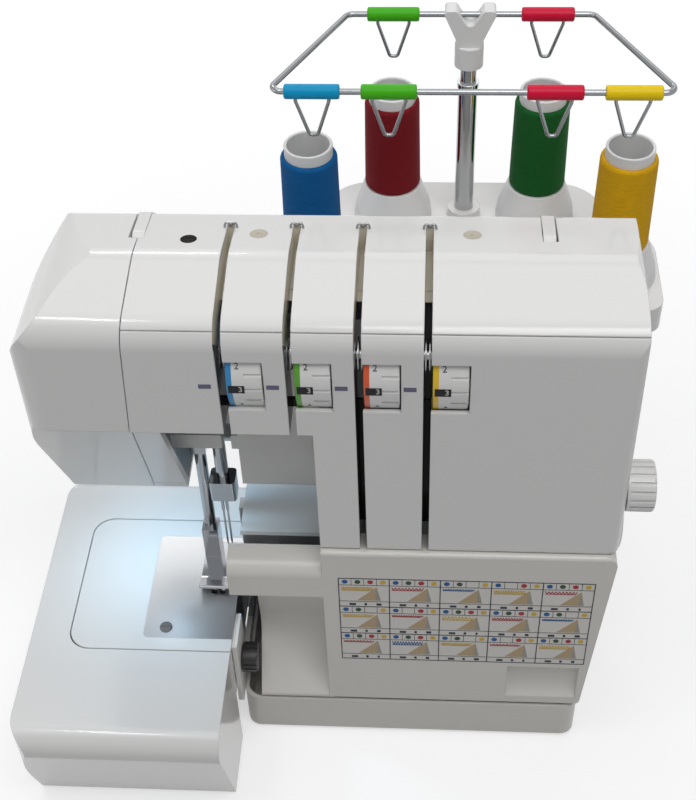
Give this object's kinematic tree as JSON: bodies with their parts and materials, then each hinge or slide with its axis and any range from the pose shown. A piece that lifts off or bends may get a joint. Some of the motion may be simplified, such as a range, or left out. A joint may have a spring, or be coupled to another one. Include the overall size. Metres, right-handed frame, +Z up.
{
  "type": "serger sewing machine",
  "caption": "Overlock sewing machine with thread cones on a rear stand, telescopic thread tree, tension dials, loopers, knives and a removable bed table.",
  "frame": {"origin": "on the table, under the middle of the machine's outline", "axes": "+X to the operator's right, +Y to the back, towards the thread stand, +Z up"},
  "size_m": [0.34, 0.2924, 0.3605],
  "materials": {
    "white_plastic": "smooth gloss",
    "black_rubber": "matte",
    "cast_frame": "as cast",
    "steel": "ground",
    "chrome": "polished",
    "bronze": "sintered",
    "motor_metal": "satin",
    "black_plastic": "fine texture",
    "grey_tube": "satin",
    "pale_plastic": "satin",
    "lamp": "diffusing",
    "dial_blue": "smooth",
    "dial_green": "smooth",
    "dial_orange": "smooth",
    "dial_yellow": "smooth",
    "clip_blue": "smooth",
    "clip_green": "smooth",
    "clip_pink": "smooth",
    "clip_yellow": "smooth",
    "thread_blue": "wound thread",
    "thread_red": "wound thread",
    "thread_green": "wound thread",
    "thread_mustard": "wound thread"
  },
  "bodies": {
    "machine": {"base_tray": "white_plastic", "rubber_feet": "black_rubber", "machine_frame": "cast_frame", "front_panel": "white_plastic", "top_cover": "white_plastic", "face_cover": "white_plastic", "rear_cover": "white_plastic", "belt_cover": "white_plastic", "inner_panel": "white_plastic", "free_arm": "white_plastic", "needle_plate": "steel", "lower_knife": "steel", "lamp_lens": "lamp", "tension_posts": "steel", "motor": "motor_metal", "drive_belt": "black_rubber", "shaft_bushes": "bronze", "spool_stand": "white_plastic", "pole_lower": "grey_tube", "power_inlet": "black_plastic", "cover_screws": "steel", "cone_holders": "white_plastic", "thread_blue": "thread_blue", "thread_red": "thread_red", "thread_green": "thread_green", "thread_mustard": "thread_mustard"},
    "drive": {"main_shaft": "steel", "drive_pulley": "black_plastic", "handwheel": "white_plastic"},
    "motor_rotor": {"motor_pulley": "black_plastic"},
    "needle_group": {"needle_bar": "chrome", "needle_clamp": "chrome", "needles": "chrome"},
    "lifter": {"presser_lifter": "steel"},
    "presser": {"presser_bar": "chrome", "presser_foot": "chrome"},
    "upper_looper": {"upper_looper": "steel"},
    "lower_looper": {"lower_looper": "steel"},
    "upper_knife": {"upper_knife": "steel"},
    "feed": {"feed_dogs": "steel"},
    "cover_pin": {"hinge_pin": "steel"},
    "looper_cover": {"looper_cover": "white_plastic"},
    "extension_table": {"extension_table": "white_plastic"},
    "carry_handle": {"carry_handle": "white_plastic"},
    "dial_blue": {"tension_dial_blue": "dial_blue"},
    "dial_green": {"tension_dial_green": "dial_green"},
    "dial_orange": {"tension_dial_orange": "dial_orange"},
    "dial_yellow": {"tension_dial_yellow": "dial_yellow"},
    "length_dial": {"stitch_length_dial": "white_plastic"},
    "feed_dial": {"differential_dial": "white_plastic"},
    "width_knob": {"cutting_width_knob": "black_plastic"},
    "rocker": {"power_switch": "black_plastic"},
    "thread_tree": {"pole_upper": "grey_tube", "tree_fork": "pale_plastic", "guide_wire": "chrome", "guide_clip_blue": "clip_blue", "guide_clip_green": "clip_green", "guide_clip_pink": "clip_pink", "guide_clip_yellow": "clip_yellow", "guide_hooks": "chrome"}
  },
  "joints": [
    {"name": "handwheel_turn", "type": "hinge", "parent": "machine", "child": "drive", "pos_m": [0, 0.00418, 0.112], "axis": [1, 0, 0], "continuous": true},
    {"name": "motor_turn", "type": "hinge", "parent": "machine", "child": "motor_rotor", "pos_m": [0.09, 0.00418, 0.046], "axis": [1, 0, 0], "continuous": true},
    {"name": "needle_bar_stroke", "type": "slide", "parent": "machine", "child": "needle_group", "axis": [0, 0, 1], "range_m": [-0.026, 0]},
    {"name": "presser_lift", "type": "hinge", "parent": "machine", "child": "lifter", "pos_m": [-0.075, -0.00382, 0.178], "axis": [1, 0, 0], "range_deg": [-1, 37]},
    {"name": "presser_bar_slide", "type": "slide", "parent": "machine", "child": "presser", "axis": [0, 0, 1], "range_m": [0, 0.006]},
    {"name": "upper_looper_swing", "type": "hinge", "parent": "machine", "child": "upper_looper", "pos_m": [-0.006, -0.01982, 0.088], "axis": [0, 1, 0], "range_deg": [-36, 0.5]},
    {"name": "lower_looper_swing", "type": "hinge", "parent": "machine", "child": "lower_looper", "pos_m": [-0.044, -0.01582, 0.04], "axis": [0, 1, 0], "range_deg": [-0.5, 23]},
    {"name": "upper_knife_swing", "type": "hinge", "parent": "machine", "child": "upper_knife", "pos_m": [-0.008, -0.02582, 0.112], "axis": [0, 1, 0], "range_deg": [-8.5, 0.5]},
    {"name": "feed_stroke", "type": "slide", "parent": "machine", "child": "feed", "axis": [0, 1, 0], "range_m": [0, 0.003]},
    {"name": "cover_shift", "type": "slide", "parent": "machine", "child": "cover_pin", "axis": [1, 0, 0], "range_m": [0, 0.008], "stiffness_N_per_m": 200},
    {"name": "cover_open", "type": "hinge", "parent": "cover_pin", "child": "looper_cover", "pos_m": [0.04, -0.07382, 0.038], "axis": [1, 0, 0], "range_deg": [0, 90]},
    {"name": "table_slide", "type": "slide", "parent": "machine", "child": "extension_table", "axis": [-1, 0, 0], "range_m": [0, 0.1]},
    {"name": "handle_lift", "type": "hinge", "parent": "machine", "child": "carry_handle", "pos_m": [0.005, -0.00982, 0.31], "axis": [1, 0, 0], "range_deg": [0, 117]},
    {"name": "tension_blue_turn", "type": "hinge", "parent": "machine", "child": "dial_blue", "pos_m": [-0.0365, -0.05262, 0.278], "axis": [1, 0, 0], "range_deg": [-150, 150]},
    {"name": "tension_green_turn", "type": "hinge", "parent": "machine", "child": "dial_green", "pos_m": [-0.0055, -0.05262, 0.278], "axis": [1, 0, 0], "range_deg": [-150, 150]},
    {"name": "tension_orange_turn", "type": "hinge", "parent": "machine", "child": "dial_orange", "pos_m": [0.0255, -0.05262, 0.278], "axis": [1, 0, 0], "range_deg": [-150, 150]},
    {"name": "tension_yellow_turn", "type": "hinge", "parent": "machine", "child": "dial_yellow", "pos_m": [0.0565, -0.05262, 0.278], "axis": [1, 0, 0], "range_deg": [-150, 150]},
    {"name": "stitch_length_turn", "type": "hinge", "parent": "machine", "child": "length_dial", "pos_m": [0.148, -0.05782, 0.197], "axis": [1, 0, 0], "range_deg": [-120, 120]},
    {"name": "differential_turn", "type": "hinge", "parent": "machine", "child": "feed_dial", "pos_m": [0.146, -0.00382, 0.215], "axis": [1, 0, 0], "range_deg": [-120, 120]},
    {"name": "cutting_width_turn", "type": "hinge", "parent": "machine", "child": "width_knob", "pos_m": [-0.05, -0.07082, 0.06], "axis": [1, 0, 0], "continuous": true},
    {"name": "switch_rock", "type": "hinge", "parent": "machine", "child": "rocker", "pos_m": [0.133, -0.03782, 0.0825], "axis": [0, 1, 0], "range_deg": [0, 12]},
    {"name": "tree_extend", "type": "slide", "parent": "machine", "child": "thread_tree", "axis": [0, 0, 1], "range_m": [0, 0.13]}
  ],
  "couplings": [
    {"joint": "motor_turn", "follows": "handwheel_turn", "ratio": 2},
    {"joint": "presser_lift", "follows": "presser_bar_slide", "rad_per_m": 101.8},
    {"joint": "upper_looper_swing", "follows": "needle_bar_stroke", "rad_per_m": 23.49},
    {"joint": "lower_looper_swing", "follows": "needle_bar_stroke", "rad_per_m": -14.76},
    {"joint": "upper_knife_swing", "follows": "needle_bar_stroke", "rad_per_m": 5.37},
    {"joint": "feed_stroke", "follows": "needle_bar_stroke", "ratio": -0.115}
  ]
}
